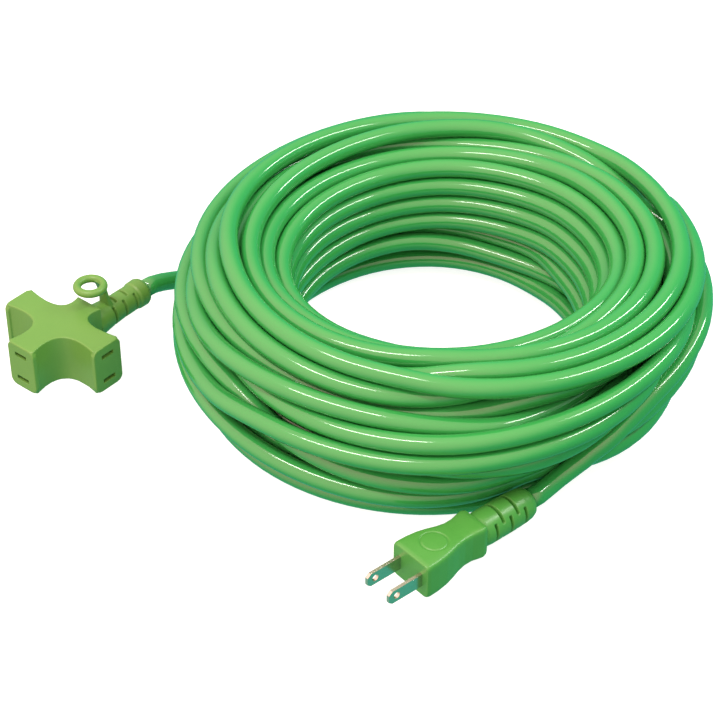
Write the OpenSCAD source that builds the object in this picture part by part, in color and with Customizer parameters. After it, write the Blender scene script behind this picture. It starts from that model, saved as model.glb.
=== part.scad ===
// Extension cord: a moulded three-outlet tap, a coil of round cord and a two-blade plug.
// Millimetres. Origin on the floor under the middle of the tap, +Y along the tap's cord, +Z up.

/* [Tap] */
// Half length of the bar that carries the left and right outlets
tap_reach = 28; // [24:0.5:36]
// Distance from the middle to the front outlet face
tap_front = 25; // [23:0.5:34]
// Distance from the middle to the cord side of the moulding
tap_back = 17; // [16:0.5:24]
// Thickness of the moulding
tap_height = 23; // [22:0.5:32]
// Width of an outlet face
arm_width = 16; // [15:0.5:22]
// Amount each arm is drawn in behind its outlet face, per side
arm_waist = 1.2; // [0.4:0.1:1.6]
// Radius of the hollow curves between the arms
notch_radius = 6; // [3:0.5:8]
// Radius on the corners of an outlet face
face_round = 3; // [1:0.5:4]

/* [Outlets] */
// Distance between the two blades of the plug system
blade_pitch = 12.7; // [12:0.1:16]
// Width of a slot
slot_width = 7; // [6.6:0.1:9]
// Height of a slot
slot_height = 2; // [1.8:0.1:3]
// Thickness of the contact strip
leaf_thick = 0.55; // [0.4:0.05:0.8]
// Thickness of the collecting bars
bar_thick = 0.8; // [0.5:0.1:1.2]
// Diameter of the rivets that join clips and bars
rivet_d = 1.6; // [1.2:0.1:2]

/* [Plug] */
// Width of the plug at its front face
plug_width = 21; // [20:0.5:30]
// Thickness of the plug
plug_thick = 17; // [14:0.5:24]
// Length of the plug body
plug_length = 34.5; // [32:0.5:48]
// Length of a blade outside the plug
blade_length = 17; // [14:0.5:19]
// Width of a blade
blade_width = 6.3; // [5.5:0.1:8]
// Thickness of a blade
blade_thick = 1.5; // [1.2:0.1:1.8]
// Diameter of the hole in a blade
blade_hole = 3; // [2:0.1:4]
// Diameter of the engraved ring on the plug
emblem_d = 11.5; // [8:0.5:13]

/* [Cord] */
// Diameter of the cord sheath
cord_d = 8.4; // [6.6:0.1:10.2]
// Diameter of one insulated core
core_d = 3.4; // [2.6:0.1:3.6]
// Diameter of the bare wire in a core
wire_d = 1.8; // [1.2:0.1:2.2]
// Length of the slotted sleeve on the tap
tap_sleeve_length = 33; // [24:1:44]
// Diameter of the tap sleeve at its free end
tap_sleeve_d = 12; // [11:0.5:16]
// Length of the slotted sleeve on the plug
plug_sleeve_length = 29; // [22:1:40]
// Diameter of the plug sleeve
plug_sleeve_d = 15; // [13:0.5:16.5]
// Width of the slots in the sleeves
relief_gap = 1.2; // [0.8:0.1:2]

/* [Hang ring] */
// Diameter of the hang ring along the middle of its round section
ring_d = 11.5; // [9:0.5:16]
// Diameter of the round section
ring_section = 4; // [3:0.25:5]
// Diameter of the straight land inside the ring
ring_bore = 8; // [7:0.25:11]
// Width of the strap that carries the ring
strap_width = 6; // [4:0.5:8]

/* [Coil] */
// Outside radius of the coil
coil_radius = 112; // [96:1:134]
// Width of the bundle of turns
coil_width = 50; // [40:1:60]
// Height of the bundle of turns
coil_height = 68; // [56:1:82]

/* [View] */
// Piece to draw, or all of them

/* [Hidden] */
$fn = 48;

cut = 1;
mid = tap_height / 2;
cord_r = cord_d / 2;
core_r = core_d / 2;
core_off = core_r + 0.15;
bend_r = core_r + 0.12;
slot_z = blade_pitch / 2;
clip_gap = blade_thick + 0.1;
clip_h = clip_gap + 2 * leaf_thick;
floor_z = slot_z + clip_h / 2;
bar_top = slot_z - clip_h / 2 - bar_thick;
carrier_top = floor_z + 1.8;
carrier_half = slot_width / 2 + 1.7;
wall = 2.5;
clip_len = blade_length - 2.5;
clip_start_side = tap_reach - blade_length - 3;
clip_start_front = tap_front - blade_length - 3;
carrier_back = 8;
barrel_r = wire_d / 2 + 0.7;
barrel_len = 3.5;
bar_mid = bar_top + bar_thick / 2;
sheath_start = tap_back + 1.5;
exit_half = bar_mid + barrel_r + 0.8;
core_from = carrier_back + barrel_len + 0.6;
core_to = sheath_start - 0.6;
core_slope = atan((bar_mid - core_off) / (core_to - core_from));
core_mouth = core_off + (core_to - tap_back) * tan(core_slope) + core_r / cos(core_slope) + 0.04;
sleeve_end = tap_back + tap_sleeve_length;
sleeve_base_r = 7.5;
arm_half = arm_width / 2;
root_half = arm_half - arm_waist;
flange = 2.5;

// hang ring
ring_at = [0, 18.5, 31];
flex_at = [0, 25.9, 22];
flex_r = 0.9;
root_top = flex_at[2] - flex_r - 0.3;

// plug placing: middle of its front face, turned about the vertical
plug_at = [206.8, -13.4, 0];
plug_turn = -10;
plug_mid = plug_thick / 2;
plug_end = plug_length + plug_sleeve_length;
plug_sheath = 28;
crimp_x = blade_pitch / 2 - 1.35;
crimp_start = 12;
core_start = crimp_start + barrel_len + 0.4;
chamber_half = crimp_x + barrel_r + 0.3;
bend_y = 25.5;
neck_y = 24;
neck_slope = atan((crimp_x - core_off) / (bend_y - core_start));
neck_half = max(cord_r, core_off + (bend_y - neck_y) * tan(neck_slope) + core_r / cos(neck_slope) + 0.05);
blade_seat = blade_pitch / 2 + blade_thick / 2 + 1.5;

// coil placing
coil_at = [128, 102, 0];
inner = coil_radius - coil_width;
floor_level = cord_r + 0.05;

// ---------- round tube swept along points ----------
function unit(v) = v / norm(v);
function pick(p, i) = p[max(0, min(len(p) - 1, i))];
function along(p, i) = unit(pick(p, i + 1) - pick(p, i - 1));
function side_of(t) = unit(cross(t, [0, 0, 1]));
function ring_points(p, i, r, n) = [for (k = [0 : n - 1])
    let (t = along(p, i), s = side_of(t), u = cross(s, t), a = 360 * k / n)
    p[i] + r * (cos(a) * s + sin(a) * u)];

module tube(p, r, n) {
    rows = [for (i = [0 : len(p) - 1]) each ring_points(p, i, r, n)];
    last = (len(p) - 1) * n;
    polyhedron(points = rows, faces = concat(
        [[for (k = [0 : n - 1]) k]],
        [[for (k = [0 : n - 1]) last + n - 1 - k]],
        [for (i = [0 : len(p) - 2], k = [0 : n - 1])
            [i * n + k, (i + 1) * n + k, (i + 1) * n + (k + 1) % n, i * n + (k + 1) % n]]));
}

// ---------- shared shapes ----------
module pipe(a, b, r) {
    d = b - a;
    translate(a)
        rotate([0, acos(d[2] / norm(d)), atan2(d[1], d[0])])
            cylinder(r = r, h = norm(d));
}

module box(x0, x1, y0, y1, z0, z1) {
    translate([x0, y0, z0])
        cube([x1 - x0, y1 - y0, z1 - z0]);
}

module lower() {
    translate([0, 0, mid])
        children();
}

module upper() {
    translate([0, 0, mid])
        mirror([0, 0, 1])
            children();
}

module to_plug() {
    translate(plug_at)
        rotate([0, 0, plug_turn])
            children();
}

module rounded_face(w, h, r) {
    square([w - 2 * r, h], center = true);
    square([w, h - 2 * r], center = true);
    for (x = [-1, 1])
        for (y = [-1, 1])
            translate([x * (w / 2 - r), y * (h / 2 - r)])
                circle(r = r);
}

// ---------- tap ----------
module arms_outline() {
    side = tap_reach - 1;
    front = tap_front - 1;
    polygon([[-side, -arm_half + 0.4], [0, -root_half], [side, -arm_half + 0.4],
        [side, arm_half - 0.4], [0, root_half], [-side, arm_half - 0.4]]);
    polygon([[-arm_half + 0.4, -front], [-root_half, 0], [-arm_half + 0.4, tap_back],
        [arm_half - 0.4, tap_back], [root_half, 0], [arm_half - 0.4, -front]]);
    for (x = [-1, 1])
        for (y = [-1, 1])
            difference() {
                translate([x * (root_half + notch_radius / 2), y * (root_half + notch_radius / 2)])
                    square(notch_radius, center = true);
                translate([x * (root_half + notch_radius), y * (root_half + notch_radius)])
                    circle(r = notch_radius);
            }
}

module outlet_face() {
    translate([-flange, 0, 0])
        rotate([90, 0, 90])
            linear_extrude(flange)
                rounded_face(arm_width, tap_height, face_round);
}

module slot_pair(reach) {
    for (z = [-slot_z, slot_z])
        translate([reach - wall - cut, -slot_width / 2, z - slot_height / 2])
            cube([wall + 2 * cut, slot_width, slot_height]);
}

module carrier_outline(r) {
    square([2 * (tap_reach - wall), 2 * r], center = true);
    translate([-r, -(tap_front - wall)])
        square([2 * r, tap_front - wall + carrier_back]);
}

module tap_body() {
    color("#88bf5c")
        difference() {
            union() {
                translate([0, 0, 0])
                    linear_extrude(tap_height)
                        arms_outline();
                translate([tap_reach, 0, mid])
                    outlet_face();
                translate([-tap_reach, 0, mid])
                    rotate([0, 0, 180])
                        outlet_face();
                translate([0, -tap_front, mid])
                    rotate([0, 0, -90])
                        outlet_face();
            }
            translate([0, 0, mid - carrier_top])
                linear_extrude(2 * carrier_top)
                    carrier_outline(carrier_half);
            lower() {
                slot_pair(tap_reach);
                rotate([0, 0, 180])
                    slot_pair(tap_reach);
                rotate([0, 0, -90])
                    slot_pair(tap_front);
                box(-4, 4, carrier_back, tap_back + cut, -exit_half, exit_half);
            }
        }
}

// One half of the hard insert, drawn below the middle plane
module carrier_half_shell() {
    difference() {
        translate([0, 0, -carrier_top])
            linear_extrude(carrier_top - bar_top)
                carrier_outline(carrier_half);
        box(-tap_reach + wall + 2, tap_reach - wall - 2, -slot_width / 2, slot_width / 2,
            -floor_z, -bar_top + cut);
        box(-slot_width / 2, slot_width / 2, -tap_front + wall + 2, carrier_back + cut,
            -floor_z, -bar_top + cut);
        box(-tap_reach, tap_reach, -slot_width / 2, slot_width / 2,
            -slot_z - slot_height / 2, -slot_z + slot_height / 2);
        box(-slot_width / 2, slot_width / 2, -tap_front, 0,
            -slot_z - slot_height / 2, -slot_z + slot_height / 2);
    }
}

module tap_carrier_lower() {
    color("#d9d4c4")
        lower()
            carrier_half_shell();
}

module tap_carrier_upper() {
    color("#d9d4c4")
        upper()
            carrier_half_shell();
}

module tap_divider() {
    color("#c9c4b2")
        translate([0, 0, mid - bar_top])
            linear_extrude(2 * bar_top)
                carrier_outline(carrier_half);
}

module busbar() {
    difference() {
        union() {
            box(-clip_start_side - 4, clip_start_side + 4, -2.5, 2.5, -bar_top - bar_thick, -bar_top);
            box(-2.5, 2.5, -clip_start_front - 4, carrier_back + 0.6, -bar_top - bar_thick, -bar_top);
            translate([0, carrier_back + 0.3, -bar_mid])
                rotate([-90, 0, 0])
                    cylinder(r = barrel_r, h = barrel_len);
        }
        translate([0, carrier_back + 0.9, -bar_mid])
            rotate([-90, 0, 0])
                cylinder(r = wire_d / 2, h = barrel_len);
        for (a = [0, 180])
            rotate([0, 0, a])
                translate([clip_start_side + 1.8, 0, 0])
                    rivet_hole();
        rotate([0, 0, -90])
            translate([clip_start_front + 1.8, 0, 0])
                rivet_hole();
    }
}

module rivet_hole() {
    translate([0, 0, -slot_z])
        cylinder(d = rivet_d, h = slot_z);
}

module busbar_lower() {
    color("#c8a24a")
        lower()
            busbar();
}

module busbar_upper() {
    color("#c8a24a")
        upper()
            busbar();
}

// Folded spring clip lying along +X, its closed end at x = 0
module clip() {
    difference() {
        union() {
            box(0, clip_len, -3.1, 3.1, -slot_z - clip_h / 2, -slot_z - clip_gap / 2);
            box(0, clip_len, -3.1, 3.1, -slot_z + clip_gap / 2, -slot_z + clip_h / 2);
            box(0, leaf_thick, -3.1, 3.1, -slot_z - clip_h / 2, -slot_z + clip_h / 2);
        }
        translate([1.8, 0, 0])
            rivet_hole();
    }
}

module rivet() {
    translate([1.8, 0, -slot_z + clip_gap / 2])
        cylinder(d = rivet_d, h = leaf_thick + bar_thick);
    translate([1.8, 0, -slot_z + clip_gap / 2 - 0.4])
        cylinder(d = rivet_d + 1.2, h = 0.4);
}

module at_right() {
    translate([clip_start_side, 0, 0])
        children();
}

module at_left() {
    rotate([0, 0, 180])
        translate([clip_start_side, 0, 0])
            children();
}

module at_front() {
    rotate([0, 0, -90])
        translate([clip_start_front, 0, 0])
            children();
}

module clip_left_lower() {
    color("#d9b65a")
        lower()
            at_left()
                clip();
}

module clip_left_upper() {
    color("#d9b65a")
        upper()
            at_left()
                clip();
}

module clip_front_lower() {
    color("#d9b65a")
        lower()
            at_front()
                clip();
}

module clip_front_upper() {
    color("#d9b65a")
        upper()
            at_front()
                clip();
}

module clip_right_lower() {
    color("#d9b65a")
        lower()
            at_right()
                clip();
}

module clip_right_upper() {
    color("#d9b65a")
        upper()
            at_right()
                clip();
}

module rivet_set() {
    at_left()
        rivet();
    at_front()
        rivet();
    at_right()
        rivet();
}

module rivets_lower() {
    color("#b9bbbd")
        lower()
            rivet_set();
}

module rivets_upper() {
    color("#b9bbbd")
        upper()
            rivet_set();
}

// ---------- cord end in the tap ----------
module tap_core() {
    a = [0, core_from, -bar_mid];
    b = [0, core_to, -core_off];
    difference() {
        union() {
            pipe(a, b, core_r);
            translate(b)
                sphere(r = bend_r);
            pipe(b, [0, sleeve_end, -core_off], core_r);
        }
        box(-9, 9, 0, a[1] + 0.9, -20, 20);
    }
}

module tap_core_black() {
    color("#26282b")
        lower()
            tap_core();
}

module tap_core_white() {
    color("#e6e6e2")
        upper()
            tap_core();
}

module tap_wire() {
    pipe([0, carrier_back + 0.9, -bar_mid], [0, carrier_back + 1.5 + barrel_len, -bar_mid], wire_d / 2);
}

module tap_wire_black() {
    color("#b8693d")
        lower()
            tap_wire();
}

module tap_wire_white() {
    color("#b8693d")
        upper()
            tap_wire();
}

module tap_cable_end() {
    color("#3fa05a")
        difference() {
            translate([0, sheath_start, mid])
                rotate([-90, 0, 0])
                    cylinder(r = cord_r, h = sleeve_end - sheath_start);
            for (s = [-1, 1])
                translate([0, sheath_start - cut, mid + s * core_off])
                    rotate([-90, 0, 0])
                        cylinder(r = core_r, h = tap_sleeve_length + 2 * cut);
        }
}

module tap_sleeve() {
    end_r = tap_sleeve_d / 2;
    len = tap_sleeve_length;
    slot_r = cord_r + 0.7;
    color("#7fbb5a")
        difference() {
            union() {
                translate([0, tap_back, mid])
                    rotate([-90, 0, 0])
                        rotate_extrude()
                            polygon([[max(cord_r, core_mouth), 0], [sleeve_base_r, 0], [sleeve_base_r - 0.3, 3],
                                [end_r + 0.7, 8], [end_r, 14], [end_r, len - 6.5],
                                [end_r + 0.5, len - 5.5], [end_r + 0.5, len - 2.5],
                                [end_r - 0.2, len - 0.8], [end_r - 1.2, len], [cord_r, len],
                                [cord_r, core_to - tap_back]]);
                rotate([90, 0, 90])
                    translate([0, 0, -strap_width / 2])
                        linear_extrude(strap_width)
                            polygon([[24.7, root_top], [27.3, root_top],
                                [29.4, mid + cord_r + 0.6], [25, mid + cord_r + 0.6]]);
            }
            for (i = [0 : 2])
                for (s = [-1, 1])
                    translate([s * (slot_r + 4), tap_back + 10 + 6.8 * i, mid])
                        cube([8, relief_gap, 9], center = true);
            for (i = [0 : 1])
                translate([0, tap_back + 13.4 + 6.8 * i, mid - slot_r - 4])
                    cube([6, relief_gap, 8], center = true);
            translate([0, tap_back + 20.2, mid + slot_r + 4])
                cube([6, relief_gap, 8], center = true);
        }
}

// ---------- hang ring ----------
// The strap seen from its side; its lower end is round about the flexing line
module strap_side() {
    translate([flex_at[1], flex_at[2]])
        circle(r = flex_r);
    polygon([[flex_at[1] - flex_r, flex_at[2]], [flex_at[1] + flex_r, flex_at[2]],
        [26.4, 27], [24.6, ring_at[2] + 1], [23, ring_at[2] + 1],
        [22.6, ring_at[2] - 1.4], [23.9, 26.5]]);
}

module hang_ring() {
    color("#8cc665")
        difference() {
            union() {
                translate(ring_at)
                    rotate_extrude()
                        translate([ring_d / 2, 0])
                            circle(d = ring_section);
                rotate([90, 0, 90])
                    translate([0, 0, -strap_width / 2])
                        linear_extrude(strap_width)
                            strap_side();
            }
            translate([ring_at[0], ring_at[1], ring_at[2] - 5])
                cylinder(d = ring_bore, h = 10);
        }
}

// ---------- cord ----------
function axis_point(d) = plug_at + [d * sin(-plug_turn), d * cos(-plug_turn), plug_mid];
function low(z) = max(z, floor_level);

lead_tap_points = [[0, sleeve_end, mid], [0, sleeve_end + 3, mid], [0.4, sleeve_end + 9, mid - 1.1],
    [1.2, sleeve_end + 16, mid - 3.4], [2.3, sleeve_end + 24, low(5.4)], [4, sleeve_end + 34, low(4.3)], [7, sleeve_end + 47, low(4.3)],
    [11, sleeve_end + 61, low(4.3)],
    [17.5, sleeve_end + 76, low(6)], [27, sleeve_end + 91, low(11)], [38, sleeve_end + 103, low(17)],
    [48, sleeve_end + 111, low(21)]];
lead_plug_points = [axis_point(plug_end), axis_point(plug_end + 6), [221, 66.5, 11.5], [224.6, 74.5, 16],
    [231.6, 87.9, 26], [235.2, 104.5, 33]];

module cord_lead_tap() {
    color("#3fa05a")
        tube(lead_tap_points, cord_r, 12);
}

module cord_coil() {
    h = coil_height;
    o = coil_radius;
    color("#4fae58")
        translate(coil_at)
            rotate_extrude($fn = 96)
                polygon([[inner + 10, 0], [o - 27, 0], [o - 8, h * 0.27], [o, h * 0.53],
                    [o, h * 0.74], [o - 10, h * 0.94], [o - 22, h], [inner + 16, h],
                    [inner + 4, h * 0.86], [inner, h * 0.6], [inner + 2, h * 0.26]]);
}

module cord_lead_plug() {
    color("#3fa05a")
        tube(lead_plug_points, cord_r, 12);
}

// ---------- plug ----------
module plug_outline() {
    w = plug_width / 2;
    l = plug_length;
    polygon([[-w, 0], [w, 0], [w + 0.1, 2.5], [w - 0.8, l * 0.32], [w - 2.4, l * 0.52], [w - 3.7, l * 0.67],
        [w - 3.8, l * 0.79], [w - 2.9, l * 0.93], [w - 3.3, l], [-w + 3.3, l], [-w + 2.9, l * 0.93],
        [-w + 3.8, l * 0.79], [-w + 3.7, l * 0.67], [-w + 2.4, l * 0.52], [-w + 0.8, l * 0.32],
        [-w - 0.1, 2.5]]);
}

module chamber_outline() {
    polygon([[-chamber_half, crimp_start], [chamber_half, crimp_start], [chamber_half, 17], [neck_half, neck_y],
        [cord_r, plug_sheath + 0.01], [-cord_r, plug_sheath + 0.01], [-neck_half, neck_y],
        [-chamber_half, 17]]);
}

module plug_side() {
    // profile across the thickness, drawn as length against height
    l = plug_length;
    t = plug_thick;
    polygon([[0, 0.8], [1, 0], [l * 0.35, 0], [l * 0.62, 0.9], [l * 0.8, 1], [l * 0.94, 0.4], [l, 0.9],
        [l, t - 0.9], [l * 0.94, t - 0.4], [l * 0.8, t - 1], [l * 0.62, t - 0.9], [l * 0.35, t],
        [1, t], [0, t - 0.8]]);
}

module blade_hollow(x) {
    box(x - blade_thick / 2, x + blade_thick / 2, -cut, crimp_start,
        plug_mid - blade_width / 2, plug_mid + blade_width / 2);
}

module plug_body() {
    color("#69b751")
        to_plug()
            difference() {
                intersection() {
                    linear_extrude(plug_thick)
                        plug_outline();
                    rotate([90, 0, 90])
                        translate([0, 0, -20])
                            linear_extrude(40)
                                plug_side();
                }
                box(-blade_seat, blade_seat, 1.4, crimp_start, plug_mid - 4.6, plug_mid + 4.6);
                translate([0, 0, plug_mid - 3.4])
                    linear_extrude(6.8)
                        chamber_outline();
                blade_hollow(-blade_pitch / 2);
                blade_hollow(blade_pitch / 2);
                translate([0, plug_sheath, plug_mid])
                    rotate([-90, 0, 0])
                        cylinder(r = cord_r, h = plug_length);
                translate([0, 12.3, plug_thick - 0.5])
                    difference() {
                        cylinder(d = emblem_d, h = cut);
                        translate([0, 0, -cut])
                            cylinder(d = emblem_d - 1, h = 3 * cut);
                    }
            }
}

module plug_carrier() {
    color("#d9d4c4")
        to_plug()
            difference() {
                box(-blade_seat, blade_seat, 1.4, crimp_start, plug_mid - 4.6, plug_mid + 4.6);
                blade_hollow(-blade_pitch / 2);
                blade_hollow(blade_pitch / 2);
            }
}

module blade(s) {
    x = s * blade_pitch / 2;
    h = blade_width / 2;
    tip = -blade_length;
    difference() {
        union() {
            translate([x - blade_thick / 2, 0, plug_mid])
                rotate([90, 0, 90])
                    linear_extrude(blade_thick)
                        polygon([[crimp_start, -h], [crimp_start, h], [tip + 1.6, h], [tip, h - 1.3],
                            [tip, -h + 1.3], [tip + 1.6, -h]]);
            box(min(s * crimp_x, x + s * 0.4), max(s * crimp_x, x + s * 0.4),
                crimp_start - 0.8, crimp_start + 0.8, plug_mid - 1.2, plug_mid + 1.2);
            pipe([s * crimp_x, crimp_start, plug_mid], [s * crimp_x, crimp_start + barrel_len, plug_mid],
                barrel_r);
        }
        pipe([s * crimp_x, crimp_start + 0.8, plug_mid], [s * crimp_x, crimp_start + 9, plug_mid],
            wire_d / 2);
        translate([x - 5, tip + 4, plug_mid])
            rotate([0, 90, 0])
                cylinder(d = blade_hole, h = 10);
        box(s * crimp_x - 4, s * crimp_x + 4, crimp_start - 0.81, crimp_start, -1, plug_mid - h - 0.01);
    }
}

module blade_left() {
    color("#a9b0ac")
        to_plug()
            blade_trimmed(-1);
}

module blade_right() {
    color("#a9b0ac")
        to_plug()
            blade_trimmed(1);
}

// The crimp foot stays behind the hard carrier
module blade_trimmed(s) {
    difference() {
        blade(s);
        box(-blade_pitch / 2 + blade_thick / 2, blade_pitch / 2 - blade_thick / 2,
            -30, crimp_start, 0, plug_thick);
    }
}

module plug_core(s) {
    a = [s * crimp_x, core_start, plug_mid];
    b = [s * core_off, bend_y, plug_mid];
    difference() {
        union() {
            pipe(a, b, core_r);
            translate(b)
                sphere(r = bend_r);
            pipe(b, [s * core_off, plug_end, plug_mid], core_r);
        }
        box(-20, 20, 0, core_start + 1.1, 0, 30);
    }
}

module plug_core_black() {
    color("#26282b")
        to_plug()
            plug_core(-1);
}

module plug_core_white() {
    color("#e6e6e2")
        to_plug()
            plug_core(1);
}

module plug_wire(s) {
    pipe([s * crimp_x, crimp_start + 0.8, plug_mid], [s * crimp_x, core_start + 1.1, plug_mid], wire_d / 2);
}

module plug_wire_black() {
    color("#b8693d")
        to_plug()
            plug_wire(-1);
}

module plug_wire_white() {
    color("#b8693d")
        to_plug()
            plug_wire(1);
}

module plug_cable_end() {
    color("#3fa05a")
        to_plug()
            difference() {
                translate([0, plug_sheath, plug_mid])
                    rotate([-90, 0, 0])
                        cylinder(r = cord_r, h = plug_end - plug_sheath);
                for (s = [-1, 1])
                    translate([s * core_off, plug_sheath - cut, plug_mid])
                        rotate([-90, 0, 0])
                            cylinder(r = core_r, h = plug_end);
            }
}

module plug_sleeve() {
    r = plug_sleeve_d / 2;
    len = plug_sleeve_length;
    slot_r = cord_r + 0.9;
    color("#69b751")
        to_plug()
            difference() {
                translate([0, plug_length, plug_mid])
                    rotate([-90, 0, 0])
                        rotate_extrude()
                            polygon([[cord_r, 0], [r - 0.6, 0], [r, 2], [r, len * 0.6], [r - 0.4, len * 0.8],
                                [r - 0.8, len - 2], [r - 2.2, len], [cord_r, len]]);
                for (i = [0 : 2])
                    for (s = [-1, 1])
                        translate([s * (slot_r + 4), plug_length + 5.5 + 8 * i, plug_mid])
                            cube([8, relief_gap, 8.4], center = true);
                for (i = [0 : 1])
                    for (s = [-1, 1])
                        translate([0, plug_length + 9.5 + 8 * i, plug_mid + s * (slot_r + 4)])
                            cube([12, relief_gap, 8], center = true);
            }
}

tap_body();
tap_carrier_lower();
tap_divider();
tap_carrier_upper();
busbar_lower();
busbar_upper();
clip_left_lower();
clip_left_upper();
clip_front_lower();
clip_front_upper();
clip_right_lower();
clip_right_upper();
rivets_lower();
rivets_upper();
tap_core_black();
tap_core_white();
tap_wire_black();
tap_wire_white();
tap_cable_end();
tap_sleeve();
hang_ring();
cord_lead_tap();
cord_coil();
cord_lead_plug();
plug_body();
plug_carrier();
blade_left();
blade_right();
plug_core_black();
plug_core_white();
plug_wire_black();
plug_wire_white();
plug_cable_end();
plug_sleeve();
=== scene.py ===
"""Extension cord: moulded outlet tap, coil of glossy round cord and moulded plug, in metres."""

import bmesh
import bpy
import numpy as np
from mathutils import Matrix, Vector


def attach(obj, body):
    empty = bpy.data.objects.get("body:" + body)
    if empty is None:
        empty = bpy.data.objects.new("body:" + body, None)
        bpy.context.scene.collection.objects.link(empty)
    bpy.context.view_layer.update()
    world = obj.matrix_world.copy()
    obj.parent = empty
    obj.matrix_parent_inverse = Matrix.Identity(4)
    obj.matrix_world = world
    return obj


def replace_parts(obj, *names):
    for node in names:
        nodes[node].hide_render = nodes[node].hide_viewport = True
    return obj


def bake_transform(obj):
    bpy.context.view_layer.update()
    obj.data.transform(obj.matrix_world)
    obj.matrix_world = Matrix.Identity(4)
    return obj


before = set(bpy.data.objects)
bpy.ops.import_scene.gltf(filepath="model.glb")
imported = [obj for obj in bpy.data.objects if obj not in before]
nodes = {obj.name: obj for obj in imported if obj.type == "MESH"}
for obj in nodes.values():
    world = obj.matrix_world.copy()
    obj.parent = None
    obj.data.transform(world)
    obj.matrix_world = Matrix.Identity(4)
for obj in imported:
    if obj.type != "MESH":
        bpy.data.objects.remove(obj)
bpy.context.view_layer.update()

MM = 0.001


def mm(*values):
    """Millimetres to metres, as a numpy array."""
    return np.array(values, float) * MM


# ---------------------------------------------------------------- sizes, in millimetres
CORD_D = 8.4
CORD_R = CORD_D / 2
TAP_MID = 11.5
TAP_HEIGHT = 23.0
TAP_REACH = 28.0
TAP_FRONT = 25.0
TAP_BACK = 17.0
ARM_WIDTH = 16.0
BLADE_PITCH = 12.7
SLOT_WIDTH = 7.0
SLOT_HEIGHT = 2.0
SLOT_DEPTH = 12.0
LIP_DEPTH = 2.4
TAP_SLEEVE = 33.0
RING_AT = np.array([0.0, 18.5, 31.0])
RING_MID = 5.85
RING_BAR = 1.85
PLUG_AT = np.array([206.8, -13.4, 0.0])
PLUG_TURN = np.radians(10.0)
PLUG_LENGTH = 34.5
PLUG_SLEEVE = 29.0
PLUG_THICK = 17.0
PLUG_WIDTH = 21.0
PLUG_MID = PLUG_THICK / 2
MARK_AT = 12.3
MARK_RADIUS = 5.5
BLADE_HALF = 0.75
BLADE_REACH = 17.0
CRIMP_START = 12.0
CRIMP_IN = 1.35
PLUG_BACK = np.array([np.sin(PLUG_TURN), np.cos(PLUG_TURN), 0.0])
PLUG_SIDE = np.array([np.cos(PLUG_TURN), -np.sin(PLUG_TURN), 0.0])
COIL_AT = np.array([130.0, 103.0])


def from_plug(points):
    """Plug coordinates (across, back from the front face, up) to the row frame."""
    p = np.asarray(points, float)
    return PLUG_AT + p[..., 0:1] * PLUG_SIDE + p[..., 1:2] * PLUG_BACK + p[..., 2:3] * [0, 0, 1]


# ---------------------------------------------------------------- camera
camera = bpy.data.objects.new("camera", bpy.data.cameras.new("camera"))
bpy.context.scene.collection.objects.link(camera)
bpy.context.scene.camera = camera
camera.data.lens = 109.0
camera.data.sensor_width = 36.0
camera.location = mm(583.3, -496.4, 591.6)
camera.rotation_mode = "QUATERNION"
camera.rotation_quaternion = (Vector(mm(96.8, 85.6, 0)) - camera.location).to_track_quat("-Z", "Y")


# ---------------------------------------------------------------- making meshes
def mesh_piece(name, points, faces, material, smooth=True):
    """A mesh object at the origin from an array of points in millimetres and lists of corners."""
    data = bpy.data.meshes.new(name)
    data.from_pydata((np.asarray(points).reshape(-1, 3) * MM).tolist(), [], faces)
    data.materials.append(material)
    data.polygons.foreach_set("use_smooth", np.full(len(data.polygons), smooth))
    data.update()
    piece = bpy.data.objects.new(name, data)
    bpy.context.scene.collection.objects.link(piece)
    return piece


def grid_faces(rows, cols, closed_cols=True, start=0):
    """Quads of a grid of rows by cols points, the columns joined round when closed."""
    r = np.arange(rows - 1)[:, None]
    c = np.arange(cols if closed_cols else cols - 1)[None, :]
    n = (c + 1) % cols
    quads = np.stack([r * cols + c, r * cols + n, (r + 1) * cols + n, (r + 1) * cols + c], -1)
    return (quads.reshape(-1, 4) + start).tolist()


def capped(rows, cols):
    """Quads of a tube plus one face over each end, facing outwards."""
    last = (rows - 1) * cols
    ends = [list(range(cols))[::-1], list(range(last, last + cols))]
    return grid_faces(rows, cols) + ends


def sweep(path, radius, sides):
    """Round tube: each ring is the path point plus radius times (cos a side + sin a up)."""
    p = np.asarray(path, float)
    t = np.gradient(p, axis=0)
    t /= np.linalg.norm(t, axis=1, keepdims=True)
    side = np.cross(t, [0, 0, 1])
    side /= np.linalg.norm(side, axis=1, keepdims=True)
    up = np.cross(side, t)
    a = np.linspace(0, 2 * np.pi, sides, endpoint=False)[None, :, None]
    r = np.broadcast_to(np.asarray(radius, float), len(p))[:, None, None]
    return p[:, None] + r * (np.cos(a) * side[:, None] + np.sin(a) * up[:, None])


def outward(piece):
    """Merge doubles and make every face point outwards."""
    shape = bmesh.new()
    shape.from_mesh(piece.data)
    bmesh.ops.remove_doubles(shape, verts=shape.verts, dist=1e-7)
    bmesh.ops.recalc_face_normals(shape, faces=shape.faces)
    shape.to_mesh(piece.data)
    shape.free()
    return piece


def finish_modifiers(piece):
    """Replace the mesh by the one its modifiers make."""
    graph = bpy.context.evaluated_depsgraph_get()
    graph.update()
    made = bpy.data.meshes.new_from_object(piece.evaluated_get(graph), depsgraph=graph)
    made.name = piece.name
    piece.modifiers.clear()
    piece.data = made
    return piece


def fuse(piece, voxel, passes, factor=0.5):
    """Melt overlapping closed shells into one skin with softly rounded edges."""
    remesh = piece.modifiers.new("skin", "REMESH")
    remesh.mode = "VOXEL"
    remesh.voxel_size = voxel * MM
    remesh.use_smooth_shade = True
    soften = piece.modifiers.new("soften", "SMOOTH")
    soften.factor = factor
    soften.iterations = passes
    return finish_modifiers(piece)


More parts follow.
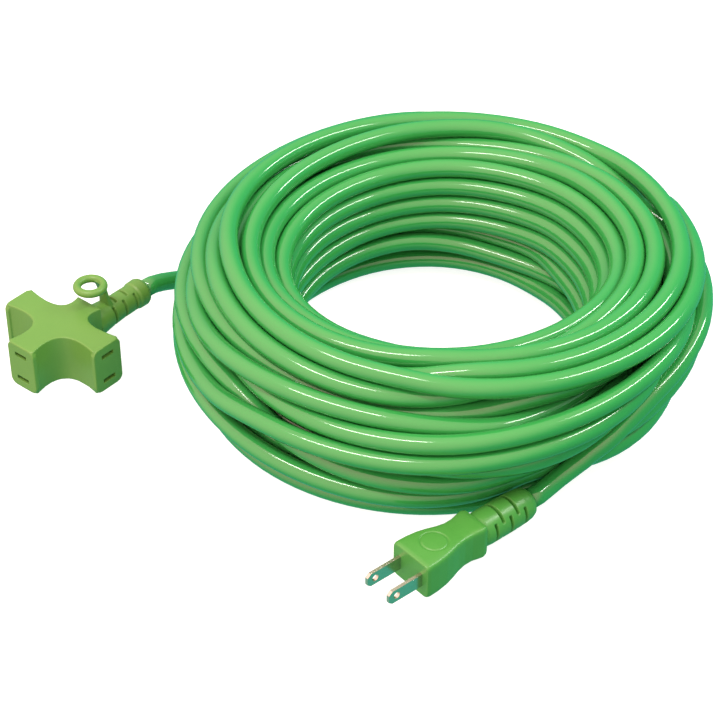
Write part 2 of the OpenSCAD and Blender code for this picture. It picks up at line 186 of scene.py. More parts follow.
def cut(piece, cutter, operation="DIFFERENCE"):
    """Take the closed cutter away from the piece, or add it to it."""
    hole = piece.modifiers.new("cut", "BOOLEAN")
    hole.operation = operation
    hole.solver = "EXACT"
    hole.object = cutter
    finish_modifiers(piece)
    bpy.data.objects.remove(cutter)
    return piece


# ---------------------------------------------------------------- materials
def linear(hex_colour):
    """sRGB hex to linear RGBA: c / 12.92 below 0.04045, else ((c + 0.055) / 1.055) to the 2.4."""
    c = np.array([int(hex_colour[i : i + 2], 16) for i in (1, 3, 5)]) / 255
    c = np.where(c <= 0.04045, c / 12.92, ((c + 0.055) / 1.055) ** 2.4)
    return (*c.tolist(), 1.0)


def add(tree, kind, settings=None, links=None, **values):
    """Add a node: settings by attribute, values by socket name, links as {socket: (node, output)}."""
    made = tree.nodes.new(kind)
    for name, value in (settings or {}).items():
        setattr(made, name, value)
    for name, value in values.items():
        made.inputs[name.replace("_", " ")].default_value = value
    for name, (source, output) in (links or {}).items():
        tree.links.new(source.outputs[output], made.inputs[name])
    return made


def new_material(name):
    """An empty node material with its shader and object coordinates."""
    material = bpy.data.materials.new(name)
    material.use_nodes = True
    tree = material.node_tree
    tree.nodes.clear()
    shader = add(tree, "ShaderNodeBsdfPrincipled")
    add(tree, "ShaderNodeOutputMaterial", links={"Surface": (shader, "BSDF")})
    place = add(tree, "ShaderNodeTexCoord")
    return material, tree, shader, place


def between(tree, factor, low, high):
    """Colour that runs from low to high as a factor goes from 0 to 1."""
    mix = add(tree, "ShaderNodeMix", {"data_type": "RGBA"}, {"Factor": factor})
    mix.inputs[6].default_value = linear(low)
    mix.inputs[7].default_value = linear(high)
    return mix


def moulded_pvc(name, low, high, roughness, grain_mm, depth_mm):
    """Flexible PVC as it leaves a mould: one even colour, satin skin with a very fine grain."""
    material, tree, shader, place = new_material(name)
    here = {"Vector": (place, "Object")}
    cloud = add(tree, "ShaderNodeTexNoise", links=here, Scale=1 / (9 * MM), Detail=3.0)
    colour = between(tree, (cloud, "Fac"), low, high)
    tree.links.new(colour.outputs[2], shader.inputs["Base Color"])
    grain = add(tree, "ShaderNodeTexNoise", links=here, Scale=1 / (grain_mm * MM), Detail=2.0)
    bump = add(tree, "ShaderNodeBump", links={"Height": (grain, "Fac")}, Strength=1.0, Distance=depth_mm * MM)
    tree.links.new(bump.outputs["Normal"], shader.inputs["Normal"])
    spread = {"To_Min": roughness - 0.03, "To_Max": roughness + 0.04}
    rough = add(tree, "ShaderNodeMapRange", links={"Value": (cloud, "Fac")}, **spread)
    tree.links.new(rough.outputs["Result"], shader.inputs["Roughness"])
    shader.inputs["IOR"].default_value = 1.53
    return material


def extruded_pvc():
    """Sheath PVC drawn through a die: glossy, with faint lengthwise ripple and a soft colour drift."""
    material, tree, shader, place = new_material("PVC, extruded")
    here = {"Vector": (place, "Object")}
    drift = add(tree, "ShaderNodeTexNoise", links=here, Scale=1 / (60 * MM), Detail=2.0)
    colour = between(tree, (drift, "Fac"), "#2C8E42", "#349448")
    tree.links.new(colour.outputs[2], shader.inputs["Base Color"])
    ripple = add(tree, "ShaderNodeTexNoise", links=here, Scale=1 / (14 * MM), Detail=1.0)
    bump = add(tree, "ShaderNodeBump", links={"Height": (ripple, "Fac")}, Strength=0.25, Distance=0.25 * MM)
    tree.links.new(bump.outputs["Normal"], shader.inputs["Normal"])
    shader.inputs["Roughness"].default_value = 0.13
    shader.inputs["IOR"].default_value = 1.65
    return material


def plated_metal(name, low, high, roughness, scratch_mm):
    """Plated strip metal: bright, with fine rolling lines along the strip."""
    material, tree, shader, place = new_material(name)
    stretch = add(tree, "ShaderNodeMapping", links={"Vector": (place, "Object")})
    stretch.inputs["Rotation"].default_value = (0, 0, float(PLUG_TURN))
    stretch.inputs["Scale"].default_value = (1, 0.06, 1)
    along = {"Vector": (stretch, "Vector")}
    lines = add(tree, "ShaderNodeTexNoise", links=along, Scale=1 / (scratch_mm * MM), Detail=4.0)
    colour = between(tree, (lines, "Fac"), low, high)
    tree.links.new(colour.outputs[2], shader.inputs["Base Color"])
    bump = add(tree, "ShaderNodeBump", links={"Height": (lines, "Fac")}, Strength=0.5, Distance=0.02 * MM)
    tree.links.new(bump.outputs["Normal"], shader.inputs["Normal"])
    shader.inputs["Metallic"].default_value = 1.0
    shader.inputs["Roughness"].default_value = roughness
    return material


# soft yellow-green satin, a little cloudy, with broad dull highlights
tap_pvc = moulded_pvc("PVC, injection moulded, tap", "#588A39", "#60903E", 0.42, 0.7, 0.02)
# deeper green than the tap and a little shinier, from a smoother mould
plug_pvc = moulded_pvc("PVC, injection moulded, plug", "#428A36", "#4A903E", 0.34, 0.7, 0.015)
# clear mid green with long bright streaks along the turns
sheath_pvc = extruded_pvc()
# chalky cream, dull: the hard inserts under the soft skin
insert_resin = moulded_pvc("PBT resin, moulded", "#D6D1C0", "#DEDACB", 0.5, 0.5, 0.01)
# plain white and black core insulation, half dull
white_core = moulded_pvc("core PVC, white", "#DEDED8", "#E8E8E4", 0.45, 0.6, 0.01)
black_core = moulded_pvc("core PVC, black", "#1E1F22", "#26282B", 0.45, 0.6, 0.01)
# pale warm grey metal with faint lines along the strip
nickel = plated_metal("brass, nickel plated", "#BDB6AC", "#D6D0C6", 0.22, 0.35)
# yellow strip, duller where it was stamped and folded
brass = plated_metal("brass, stamped", "#B98F3C", "#CFA653", 0.3, 0.4)
# cool grey rivet heads
steel = plated_metal("steel, zinc plated", "#A9ABAC", "#BFC1C2", 0.35, 0.4)
# reddish bare strands, lightly tarnished
copper = plated_metal("copper, stranded", "#A65F36", "#C07A4C", 0.35, 0.25)

# ---------------------------------------------------------------- the cord
TURNS = 37
STEPS = 96
RELAX_STEPS = 700
SETTLE_STEPS = 120
JOIN_ANGLE = 128.0
LEAVE_ANGLE = -38.0
RING_SPACING = 5.8
CORD_SIDES = 16
GOLDEN_ANGLE = 2.399
# the cord's two ends inside the coil: angle, radius and height of each held place
FIRST_HOLDS = [(128, 114.8, 6), (119.8, 109.8, 11), (111.6, 104.7, 17), (104.8, 100.4, 21)]
LAST_HOLDS = [
    (24, 112, 46), (0, 112.2, 45), (-14, 110.9, 43), (-19, 109.8, 41), (-28, 107.4, 38), (-34, 105.7, 36),
    (-39, 105.2, 33), (-43, 104.2, 30), (-48, 102.7, 26), (-52, 100.5, 21), (-57, 98.8, 16),
    (-61, 98.2, 11.5), (-66, 99, 9), (-71.5, 103.1, 8.5),
]
# how far out the low turns may lie beside the last stretch and the plug's sleeve: angle, radius
LOW_LIMITS = [
    (-5, 112), (-20, 102), (-36, 98), (-48, 94.5), (-58, 92), (-66, 91), (-72, 91.5), (-80, 97), (-88, 110),
]
VIEW_TURN = np.radians(39.9)
# the bundle's section at places round a turn, counted from the right of the view towards the far side,
# in degrees: radius of its middle, half its width and height, how far it leans out, how square it is
STATIONS = [-90, -45, 0, 45, 90, 135, 180, 225]
MID_RADIUS = [83, 87, 87.5, 88.5, 91.5, 95, 89, 85]
HALF_WIDTH = [31, 29, 25, 24.5, 24.5, 28, 27, 29]
HALF_HEIGHT = [34, 33.5, 33, 33.5, 34.5, 36, 35, 34]
LEAN = [-0.42, -0.18, 0.34, 0.32, 0.12, 0.05, 0.0, -0.36]
SQUARENESS = [4.0, 3.2, 2.8, 3.0, 3.4, 4.0, 4.0, 4.2]


def round_turn(angle, values):
    """Closed smooth curve through values at the stations: linear steps averaged over 80 degrees."""
    a = np.array(STATIONS, float) % 360
    order = np.argsort(a)
    a3 = np.concatenate([a[order] - 360, a[order], a[order] + 360])
    v3 = np.tile(np.array(values, float)[order], 3)
    spread = np.linspace(-40, 40, 41)
    weight = np.hanning(43)[1:-1]
    near = (np.asarray(angle, float) % 360)[:, None] + spread
    return (np.interp(near, a3, v3) * weight).sum(1) / weight.sum()


def packed_places(count):
    """Places in a unit disc on a close packed grid, in order to and fro along the rows."""
    for spacing in np.linspace(0.36, 0.2, 200):
        step = np.arange(-12, 13)
        j, i = np.meshgrid(step, step, indexing="ij")
        i = np.where(j % 2 == 1, -i, i)
        p = np.stack([(i + 0.5 * (j % 2)) * spacing, j * spacing * 0.866], -1).reshape(-1, 2)
        p = p[(p**2).sum(1) <= 1]
        if len(p) >= count:
            return p[np.sort(np.argsort((p**2).sum(1), kind="stable")[:count])]


def wander(phase, draws, size):
    """Slow drift along the cord: three cosines of falling size with random starts."""
    k = np.arange(1, 4)[:, None]
    return (size / k * np.cos(0.31 * k * phase + draws.uniform(0, 2 * np.pi, (3, 1)))).sum(0)


def too_near(turns, sight, covers):
    """How far each turn stands proud of a hinge laid behind the last stretch, opening to both sides."""
    off = turns[:-1] - turns[-1]
    ahead = (off * sight).sum(-1)
    beside = np.abs(off[..., 0] * sight[:, 1] - off[..., 1] * sight[:, 0])
    return np.clip(ahead + CORD_D - 2.5 * beside - 40 * (1 - covers), 0, None) * (covers > 0)


def bundle_section(angle):
    """Middle radius, inner half width, inner half height, lean and squareness at every step."""
    shape = (MID_RADIUS, HALF_WIDTH, HALF_HEIGHT, LEAN, SQUARENESS)
    mid, wide, high, lean, power = (round_turn(angle, v) for v in shape)
    return mid, wide - CORD_R, high - CORD_R, high, lean, power


def laid_turns(section):
    """Turns before they settle: each goes from one packed place to the next part way round, and drifts.

    A place is carried from the unit disc to the section |u|^power + |v|^power = 1.
    """
    draws = np.random.default_rng(7)
    mid, a, b, high, lean, power = section
    places = packed_places(TURNS + 1)
    part = np.arange(STEPS) / STEPS
    turns = np.zeros((TURNS, STEPS, 2))
    for i in range(TURNS):
        t = np.clip((part - 0.5 - 0.35 * np.sin(i * GOLDEN_ANGLE)) / 0.22 + 0.5, 0, 1)
        t = (t * t * (3 - 2 * t))[:, None]
        phase = (i + part) * 2 * np.pi
        drift = np.stack([wander(phase, draws, 0.1), wander(phase, draws, 0.1)], 1)
        uv = places[i] * (1 - t) + places[i + 1] * t
        aim = (np.abs(uv) + 1e-6) / (np.linalg.norm(uv, axis=1, keepdims=True) + 1e-6)
        uv = uv / (aim ** power[:, None]).sum(1, keepdims=True) ** (1 / power[:, None]) + drift
        turns[i, :, 1] = high + uv[:, 1] * b
        turns[i, :, 0] = mid + uv[:, 0] * a + lean * (turns[i, :, 1] - high)
    return turns


def held_places(angle):
    """Which steps of the first and the last turn are held, and where."""
    held = np.zeros((TURNS, STEPS, 1))
    target = np.zeros((TURNS, STEPS, 2))
    for turn, holds in ((0, FIRST_HOLDS), (-1, LAST_HOLDS)):
        at, radius, height = np.array(holds, float).T
        inside = (angle <= at[0]) & (angle >= at[-1])
        held[turn, inside] = 1
        target[turn, inside, 0] = np.interp(-angle[inside], -at, radius)
        target[turn, inside, 1] = np.interp(-angle[inside], -at, height)
    return held, target


def pushed_apart(turns, live):
    """Move every two turns that are nearer than a diameter away from each other."""
    first, second = np.triu_indices(TURNS, 1)
    gap = turns[first] - turns[second]
    far = np.linalg.norm(gap, axis=-1, keepdims=True) + 1e-9
    push = 0.3 * np.clip(CORD_D * 1.01 - far, 0, None) / far * gap * live[first] * live[second]
    shift = np.zeros_like(turns)
    np.add.at(shift, first, push)
    np.add.at(shift, second, -push)
    return turns + np.clip(shift, -1.2, 1.2)


def draw_in(turns, section):
    """Pull what lies past the bundle's outline back towards its middle, and keep it off the floor."""
    mid, a, b, high, lean, power = section
    u = (turns[..., 0] - mid - lean * (turns[..., 1] - high)) / a
    v = (turns[..., 1] - high) / b
    out = np.clip((np.abs(u) ** power + np.abs(v) ** power) ** (1 / power) - 1, 0, 0.6) * 0.3
    turns[..., 0] -= out * u * a
    turns[..., 1] -= out * v * b + 0.002
    turns[..., 1] = np.maximum(turns[..., 1], CORD_R)


def wound_turns():
    """Radius and height of every turn at every step, relaxed until the turns lie beside each other.

    Touching turns push each other apart to one cord diameter, the cord's stiffness evens out its
    bends, and the bundle's outline, which changes round the turn, draws them in. Turns run
    clockwise, the last one only part way.
    """
    angle = JOIN_ANGLE - 360.0 * np.arange(STEPS) / STEPS
    section = bundle_section(angle)
    turns = laid_turns(section)
    held, target = held_places(angle)
    live = np.ones((TURNS, STEPS, 1))
    live[-1, angle < LAST_HOLDS[-1][0]] = 0
    # nothing lies between the last stretch and someone at the camera
    sight = np.stack([-0.788 * np.sin(np.radians(angle)), np.full(STEPS, 0.616)], -1)
    sight /= np.linalg.norm(sight, axis=-1, keepdims=True)
    turns += held * (target - turns)
    covers = np.clip((14 - angle) / 30, 0, 1) * np.clip((angle + 74) / 6, 0, 1)
    turns[:-1] -= too_near(turns, sight, covers)[..., None] * sight
    limit = np.interp(-angle, *zip(*[(-a, r) for a, r in LOW_LIMITS]))
    for step in range(RELAX_STEPS):
        stiffness = 0.5 if step < RELAX_STEPS - SETTLE_STEPS else 0.3
        line = turns.reshape(-1, 2)
        even = line.copy()
        even[1:-1] = 0.5 * (line[2:] + line[:-2])
        turns = (line + stiffness * (even - line)).reshape(turns.shape)
        turns = pushed_apart(turns, live)
        turns[:-1] -= np.clip(0.3 * too_near(turns, sight, covers), 0, 1)[..., None] * sight
        draw_in(turns, section)
        low = np.clip((22 - turns[:-1, :, 1]) / 10, 0, 1)
        turns[:-1, :, 0] -= np.clip(low * np.clip(turns[:-1, :, 0] - limit, 0, None) * 0.2, 0, 0.5)
        turns += held * (target - turns)
    return angle, turns


def smooth_line(points, spacing):
    """Catmull-Rom curve through the points, cut into equal steps."""
    p = np.asarray(points, float)
    p = np.concatenate([2 * p[:1] - p[1:2], p, 2 * p[-1:] - p[-2:-1]])
    t = np.linspace(0, 1, 12, endpoint=False)[:, None]
    a, b, c, d = (p[i : len(p) - 3 + i][:, None] for i in range(4))
    bend, twist = 2 * a - 5 * b + 4 * c - d, 3 * b - a - 3 * c + d
    curve = 0.5 * (2 * b + (c - a) * t + bend * t**2 + twist * t**3)
    curve = np.concatenate([curve.reshape(-1, 3), p[-2:-1]])
    along = np.concatenate([[0], np.cumsum(np.linalg.norm(np.diff(curve, axis=0), axis=1))])
    at = np.linspace(0, along[-1], int(along[-1] / spacing) + 1)
    return np.stack([np.interp(at, along, curve[:, i]) for i in range(3)], -1), along[-1]


def cord_route():
    """The whole cord: from the tap's sleeve along the floor, round the coil and out to the plug."""
    angle, turns = wound_turns()
    turning = np.radians(angle) + VIEW_TURN
    ring = np.stack([np.cos(turning), np.sin(turning)], -1)
    place = COIL_AT + turns[..., :1] * ring
    coil = np.concatenate([place, turns[..., 1:]], -1).reshape(-1, 3)
    last = int((JOIN_ANGLE - LEAVE_ANGLE) / 360 * STEPS)
    coil = coil[: len(coil) - STEPS + last]
    return np.concatenate([TAP_LEAD, coil, PLUG_LEAD])


TAP_LEAD = np.array(
    [
        [0, 50, 11.5], [0, 53, 11.5], [0.4, 59, 10.4], [1.2, 66, 8.1], [2.3, 74, 5.4],
        [4, 84, 4.3], [7, 97, 4.3], [11, 111, 4.3],
    ]
)
plug_end = PLUG_LENGTH + PLUG_SLEEVE
PLUG_LEAD = np.concatenate(
    [
        [[231.6, 87.9, 26], [228.1, 81.2, 21], [224.6, 74.5, 16], [221, 66.5, 11.5]],
        from_plug([[0, plug_end + 6, PLUG_MID], [0, plug_end, PLUG_MID]]),
    ]
)
route, cord_length = smooth_line(cord_route(), RING_SPACING)
cord = mesh_piece("cord", sweep(route, CORD_R, CORD_SIDES), capped(len(route), CORD_SIDES), sheath_pvc)


# ---------------------------------------------------------------- the tap
def arm_side(start, middle, end, count=25):
    """Hollow side between two arms: quadratic curve pulled towards the middle of the tap."""
    t = np.linspace(0, 1, count)[:, None]
    return (1 - t) ** 2 * start + 2 * t * (1 - t) * middle + t**2 * end


def tap_outline():
    """Round the tap: four hollow curves joined by the straight ends of the arms."""
    h = ARM_WIDTH / 2 - 0.5
    side, front, back = TAP_REACH - 1.0, TAP_FRONT - 1.0, TAP_BACK
    right_front = arm_side(np.array([h, -front]), np.array([1.2, -1.2]), np.array([side, -h]))
    right_back = arm_side(np.array([side, h]), np.array([2.2, 2.2]), np.array([h - 0.3, back]))
    half = np.concatenate([right_front, right_back])
    return np.concatenate([half, half[::-1] * [-1, 1]])


def rounded_plate(width, height, radius, count=8):
    """Rectangle with quarter-circle corners, as points in order."""
    turn = np.linspace(0, np.pi / 2, count)
    corner = radius * np.stack([np.cos(turn), np.sin(turn)], -1)
    x, y = width / 2 - radius, height / 2 - radius
    return np.concatenate(
        [
            corner + [x, y],
            corner[::-1] * [-1, 1] + [-x, y],
            corner * [-1, -1] + [-x, -y],
            corner[::-1] * [1, -1] + [x, -y],
        ]
    )


OUTLETS = {"right": (0.0, TAP_REACH), "front": (-90.0, TAP_FRONT), "left": (180.0, TAP_REACH)}


def turned(points, degrees):
    """Points turned about the vertical through the middle of the tap."""
    a = np.radians(degrees)
    p = np.asarray(points, float)
    x = p[..., 0] * np.cos(a) - p[..., 1] * np.sin(a)
    y = p[..., 0] * np.sin(a) + p[..., 1] * np.cos(a)
    return np.stack([x, y, p[..., 2]], -1)


def box_points(low, high):
    """Corners of a box as two rings of four."""
    (x0, y0, z0), (x1, y1, z1) = low, high
    ring = [[x0, y0], [x1, y0], [x1, y1], [x0, y1]]
    return np.array([[x, y, z] for z in (z0, z1) for x, y in ring])


def joined(name, parts, material):
    """One mesh from several closed shells, each given as points and faces."""
    points, faces, start = [], [], 0
    for shell, quads in parts:
        shell = np.asarray(shell, float).reshape(-1, 3)
        points.append(shell)
        faces += [[i + start for i in f] for f in quads]
        start += len(shell)
    return outward(mesh_piece(name, np.concatenate(points), faces, material))


def tap_body():
    """Moulded block with a lip at each outlet face and two slots in each."""
    outline = tap_outline()
    n = len(outline)
    block = np.concatenate([np.c_[outline, np.full(n, 0.0)], np.c_[outline, np.full(n, TAP_HEIGHT)]])
    shells = [(block, capped(2, n))]
    plate = rounded_plate(ARM_WIDTH, TAP_HEIGHT, 3.2)
    m = len(plate)
    for degrees, reach in OUTLETS.values():
        faces = [np.c_[np.full(m, x), plate[:, 0], plate[:, 1] + TAP_MID] for x in (reach - LIP_DEPTH, reach)]
        lip = np.concatenate(faces)
        shells.append((turned(lip, degrees), capped(2, m)))
    body = fuse(joined("tap_body", shells, tap_pvc), 0.34, 6)
    for degrees, reach in OUTLETS.values():
        for side in (-1, 1):
            z = TAP_MID + side * BLADE_PITCH / 2
            low = [reach - SLOT_DEPTH, -SLOT_WIDTH / 2, z - SLOT_HEIGHT / 2]
            high = [reach + 2, SLOT_WIDTH / 2, z + SLOT_HEIGHT / 2]
            slot = turned(box_points(low, high), degrees)
            cut(body, outward(mesh_piece("slot cutter", slot, capped(2, 4), tap_pvc, False)))
    return body


def window(x, half, edge):
    """One inside plus or minus half, falling smoothly to zero over the edge."""
    t = np.clip((half + edge / 2 - np.abs(x)) / edge, 0, 1)
    return t * t * (3 - 2 * t)


def slotted_sleeve(name, profile, length, slots, material, place):
    """Turned sleeve: radius over length from the profile, dropped to the cord inside each slot.

    slots holds (distance along, angle of its middle, half angle); place turns (x, y along, z) into
    the row frame.
    """
    y = np.arange(0, length + 0.01, 0.16)
    a = np.linspace(0, 2 * np.pi, 144, endpoint=False)
    radius = np.interp(y, *zip(*profile))[:, None] + 0 * a[None]
    for at, middle, half in slots:
        off = (a - np.radians(middle) + np.pi) % (2 * np.pi) - np.pi
        deep = window(y - at, 0.62, 0.3)[:, None] * window(off, np.radians(half), 0.06)[None]
        radius = radius + deep * (np.minimum(radius, CORD_R + 0.35) - radius)
    ring = np.stack([radius * np.cos(a), np.broadcast_to(y[:, None], radius.shape), radius * np.sin(a)], -1)
    points = place(np.concatenate([ring.reshape(-1, 3), [[0, 0, 0], [0, length, 0]]]))
    faces = grid_faces(len(y), len(a))
    last = len(y) * len(a)
    k = np.arange(len(a))
    faces += np.stack([(k + 1) % len(a), k, np.full(len(a), last)], -1).tolist()
    top = (len(y) - 1) * len(a)
    faces += np.stack([top + k, top + (k + 1) % len(a), np.full(len(a), last + 1)], -1).tolist()
    return outward(mesh_piece(name, points, faces, material))


def tap_sleeve():
    """Tapered sleeve with three long slots on each side and short ones above and below between."""
    end = TAP_SLEEVE
    profile = [
        (0, 7.4), (3, 7.3), (7, 6.8), (11, 6.4), (16, 6.1), (end - 7.2, 6.0), (end - 6.2, 6.5),
        (end - 2.2, 6.6), (end - 1.0, 6.1), (end - 0.3, 5.3), (end, CORD_R),
    ]
    side = [(10 + 6.8 * i, a, 52) for i in range(3) for a in (0, 180)]
    short = [(13.4 + 6.8 * i, a, 27) for i in range(2) for a in (90, 270)]

    def place(p):
        return p + [0, TAP_BACK, TAP_MID]

    return slotted_sleeve("tap_sleeve", profile, end, side + short, tap_pvc, place)


def hang_ring():
    """Ring on a soft strap that grows out of the sleeve: a torus and a swept flat band, melted together."""
    around, across = 64, 24
    a = np.linspace(0, 2 * np.pi, around, endpoint=False)[:, None]
    b = np.linspace(0, 2 * np.pi, across, endpoint=False)[None]
    r = RING_MID + RING_BAR * np.cos(b)
    height = np.broadcast_to(RING_BAR * np.sin(b), (around, across))
    torus = np.stack([r * np.cos(a), r * np.sin(a), height], -1) + RING_AT
    closed = (np.array(grid_faces(around + 1, across)) % (around * across)).tolist()
    spine = np.array(
        [
            [0, 27.4, 15.6], [0, 26.9, 18], [0, 26.2, 21], [0, 25.7, 24],
            [0, 25.0, 27], [0, 24.2, 29.6], [0, 23.4, 31.2],
        ]
    )
    half_x = np.array([3.9, 3.3, 2.8, 2.6, 2.6, 2.7, 2.6])[:, None]
    half_y = np.array([2.3, 1.7, 1.2, 1.1, 1.2, 1.4, 1.3])[:, None]
    c = np.linspace(0, 2 * np.pi, 32, endpoint=False)[None]
    round_x = np.sign(np.cos(c)) * np.abs(np.cos(c)) ** 0.6
    round_y = np.sign(np.sin(c)) * np.abs(np.sin(c)) ** 0.6
    strap = spine[:, None] + np.stack([half_x * round_x, half_y * round_y, 0 * (half_x * round_x)], -1)
    return fuse(joined("hang_ring", [(torus, closed), (strap, capped(7, 32))], tap_pvc), 0.3, 4)


# ---------------------------------------------------------------- the plug
def plug_body():
    """Moulded grip: squarish superellipse sections, waisted in plan and slightly in thickness.

    A shallow groove, deep by a bell curve of the distance from its circle, rings the top.
    """
    rows, sides, power = 70, 96, 0.22
    back = np.array([0, 1.5, 6, 11, 15, 19, 23, 27, 30, 32.5, PLUG_LENGTH])
    waist = np.array([0.3, 0, 0.15, 0.8, 1.8, 3.0, 3.8, 3.8, 3.2, 2.8, 3.3])
    thick = np.array([8.1, 8.5, 8.5, 8.4, 8.2, 7.8, 7.5, 7.5, 7.8, 8.0, 7.6])
    y = np.linspace(0, PLUG_LENGTH, rows)
    hx = np.interp(y, back, PLUG_WIDTH / 2 - waist)[:, None]
    hz = np.interp(y, back, thick)[:, None]
    c = np.linspace(0, 2 * np.pi, sides, endpoint=False)[None]
    x = hx * np.sign(np.cos(c)) * np.abs(np.cos(c)) ** power
    z = hz * np.sign(np.sin(c)) * np.abs(np.sin(c)) ** power
    skin = from_plug(np.stack([x, np.broadcast_to(y[:, None], x.shape), z + PLUG_MID], -1))
    body = fuse(joined("plug_body", [(skin, capped(rows, sides))], plug_pvc), 0.3, 8)
    co = np.empty(len(body.data.vertices) * 3)
    body.data.vertices.foreach_get("co", co)
    co = co.reshape(-1, 3)
    centre = from_plug([0.0, MARK_AT, 0.0]) * MM
    far = np.hypot(co[:, 0] - centre[0], co[:, 1] - centre[1]) / MM
    top = co[:, 2] > PLUG_MID * MM
    co[:, 2] -= np.where(top, 0.4 * MM * np.exp(-(((far - MARK_RADIUS) / 0.33) ** 2)), 0)
    body.data.vertices.foreach_set("co", co.ravel())
    body.data.update()
    return body


def plug_sleeve():
    """Barrel sleeve with side slots at every other station and long slots above and below between."""
    end = PLUG_SLEEVE
    profile = [
        (0, 6.9), (1.6, 7.3), (4, 7.5), (16, 7.5), (23, 7.3), (26, 6.9),
        (27.8, 6.2), (28.6, 5.3), (end, CORD_R),
    ]
    side = [(5.5 + 8 * i, a, 38) for i in range(3) for a in (0, 180)]
    long = [(9.5 + 8 * i, a, 60) for i in range(2) for a in (90, 270)]

    def place(p):
        return from_plug(p + [0, PLUG_LENGTH, PLUG_MID])

    return slotted_sleeve("plug_sleeve", profile, end, side + long, plug_pvc, place)


def round_bar(start, end, radius, across=0, sides=32):
    """Closed cylinder at the plug's middle height, along the plug or, with a reach, across it."""
    a = np.linspace(0, 2 * np.pi, sides, endpoint=False)
    rings = []
    for sign, (x, y) in zip((-1, 1), (start, end)):
        if across:
            ring = [np.full(sides, x + sign * across), y + radius * np.cos(a), PLUG_MID + radius * np.sin(a)]
        else:
            ring = [x + radius * np.cos(a), np.full(sides, y), PLUG_MID + radius * np.sin(a)]
        rings.append(np.stack(ring, -1))
    return outward(mesh_piece("round bar", from_plug(np.concatenate(rings)), capped(2, sides), nickel, False))


def blade(name, side):
    """Flat blade with cut corners at its tip, a round hole, softly broken edges and its crimp barrel."""
    x, h, tip = side * BLADE_PITCH / 2, 3.15, -BLADE_REACH
    edge = np.array(
        [
            [CRIMP_START, -h], [CRIMP_START, h], [tip + 1.7, h],
            [tip, h - 1.4], [tip, -h + 1.4], [tip + 1.7, -h],
        ]
    )
    n = len(edge)
    sheets = [np.c_[np.full(n, x + s * BLADE_HALF), edge[:, 0], edge[:, 1] + PLUG_MID] for s in (-1, 1)]
    piece = outward(mesh_piece(name, from_plug(np.concatenate(sheets)), capped(2, n), nickel))
    cut(piece, round_bar([x, tip + 4], [x, tip + 4], 1.5, across=3))
    crimp = x - side * CRIMP_IN
    cut(piece, round_bar([crimp, 11.2], [crimp, 15.5], 1.6), "UNION")
    cut(piece, round_bar([crimp, 12.8], [crimp, 16.5], 0.9))
    edges = piece.modifiers.new("broken edges", "BEVEL")
    edges.width = 0.16 * MM
    edges.segments = 2
    edges.limit_method = "ANGLE"
    edges.angle_limit = np.radians(35)
    edges.harden_normals = True
    return piece


tap_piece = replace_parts(tap_body(), "tap_body")
tap_sleeve_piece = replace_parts(tap_sleeve(), "tap_sleeve")
plug_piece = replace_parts(plug_body(), "plug_body")
plug_sleeve_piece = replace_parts(plug_sleeve(), "plug_sleeve")
blade_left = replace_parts(blade("blade_left", -1), "blade_left")
blade_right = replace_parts(blade("blade_right", 1), "blade_right")
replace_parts(cord, "cord_lead_tap", "cord_coil", "cord_lead_plug")
for piece in (cord, tap_piece, tap_sleeve_piece, plug_piece, plug_sleeve_piece, blade_left, blade_right):
    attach(piece, "tap_and_cord")
ring_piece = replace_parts(hang_ring(), "hang_ring")
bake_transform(ring_piece)

# ---------------------------------------------------------------- what stays from the frame
FINISHES = {
    "carrier": insert_resin,
    "divider": insert_resin,
    "busbar": brass,
    "clip": brass,
    "rivets": steel,
    "core_black": black_core,
    "core_white": white_core,
    "wire": copper,
    "cable_end": sheath_pvc,
    "blade": nickel,
}
for name, part in nodes.items():
    part.data.materials.clear()
    part.data.materials.append(next((m for word, m in FINISHES.items() if word in name), tap_pvc))


# ---------------------------------------------------------------- floor and light
def floor():
    """Large plain sheet of pale paper lit from behind, which leaves the part's own bounce alone."""
    reach, under = 4000, -0.02
    points = [[-reach, -reach, under], [reach, -reach, under], [reach, reach, under], [-reach, reach, under]]
    material, tree, shader, _ = new_material("paper, backlit")
    shader.inputs["Base Color"].default_value = linear("#A8A8A8")
    shader.inputs["Roughness"].default_value = 1.0
    shader.inputs["Specular IOR Level"].default_value = 0.0
    shader.inputs["Emission Color"].default_value = linear("#FFFFFF")
    shader.inputs["Emission Strength"].default_value = 0.88
    sheet = mesh_piece("floor", points, [[0, 1, 2, 3]], material, smooth=False)
    sheet.visible_diffuse = False
    sheet.visible_glossy = False
    return sheet


def seen(right, away, up):
    """Offset of so much to the right, away and up for someone at the camera, in millimetres."""
    c, s = np.cos(VIEW_TURN), np.sin(VIEW_TURN)
    return np.array([right * c - away * s, right * s + away * c, up])


LAMP_REACH = 1300.0
LAMP_TARGET = np.array([*COIL_AT, 30.0])


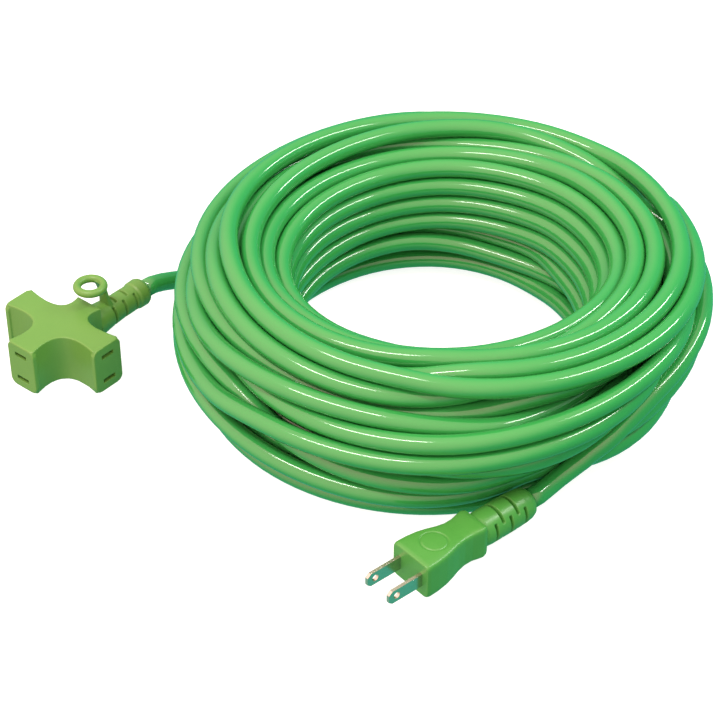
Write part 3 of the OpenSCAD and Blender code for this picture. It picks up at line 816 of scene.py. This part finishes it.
def strip_lamp(name, start, end, width, brightness, colour):
    """Long soft box between two directions from the coil, set well out and turned towards it."""
    middle = LAMP_TARGET
    a, b = (middle + LAMP_REACH * seen(*end_at) / np.linalg.norm(end_at) for end_at in (start, end))
    place = (a + b) / 2
    out = (place - middle) / np.linalg.norm(place - middle)
    long = (b - a) - out * ((b - a) @ out)
    long /= np.linalg.norm(long)
    data = bpy.data.lights.new(name, "AREA")
    data.shape = "RECTANGLE"
    data.size = np.linalg.norm(b - a) * MM
    data.size_y = width * MM
    data.energy = brightness * np.pi * data.size * data.size_y
    data.color = colour
    made = bpy.data.objects.new(name, data)
    bpy.context.scene.collection.objects.link(made)
    made.location = place * MM
    made.rotation_mode = "QUATERNION"
    made.rotation_quaternion = Matrix(np.stack([long, np.cross(out, long), out], 1).tolist()).to_quaternion()
    return made


floor()
strip_lamp("left soft box", (-0.166, -0.39, 0.906), (-0.585, -0.149, 0.797), 95, 36, (1.0, 0.97, 0.92))
strip_lamp("right soft box", (0.485, -0.253, 0.838), (0.776, 0.426, 0.467), 88, 30, (1.0, 0.98, 0.95))


def studio():
    """Room light: bright and warm from the upper left, falling to a dim green from the lower right."""
    world = bpy.data.worlds.new("studio")
    world.use_nodes = True
    tree = world.node_tree
    place = add(tree, "ShaderNodeTexCoord")
    key = seen(-0.62, -0.33, 0.72)
    toward = add(tree, "ShaderNodeVectorMath", {"operation": "DOT_PRODUCT"}, {0: (place, "Generated")})
    toward.inputs[1].default_value = (key / np.linalg.norm(key)).tolist()
    lit = add(tree, "ShaderNodeMapRange", {"interpolation_type": "SMOOTHSTEP"}, {"Value": (toward, "Value")})
    lit.inputs["From Min"].default_value = -0.35
    lit.inputs["From Max"].default_value = 1.0
    mix = add(tree, "ShaderNodeMix", {"data_type": "RGBA"}, {"Factor": (lit, "Result")})
    mix.inputs[6].default_value = (0.10, 0.58, 0.42, 1)
    mix.inputs[7].default_value = (2.4, 1.56, 1.36, 1)
    tree.links.new(mix.outputs[2], tree.nodes["Background"].inputs["Color"])
    return world


bpy.context.scene.world = studio()
bpy.context.scene.view_settings.view_transform = "Standard"
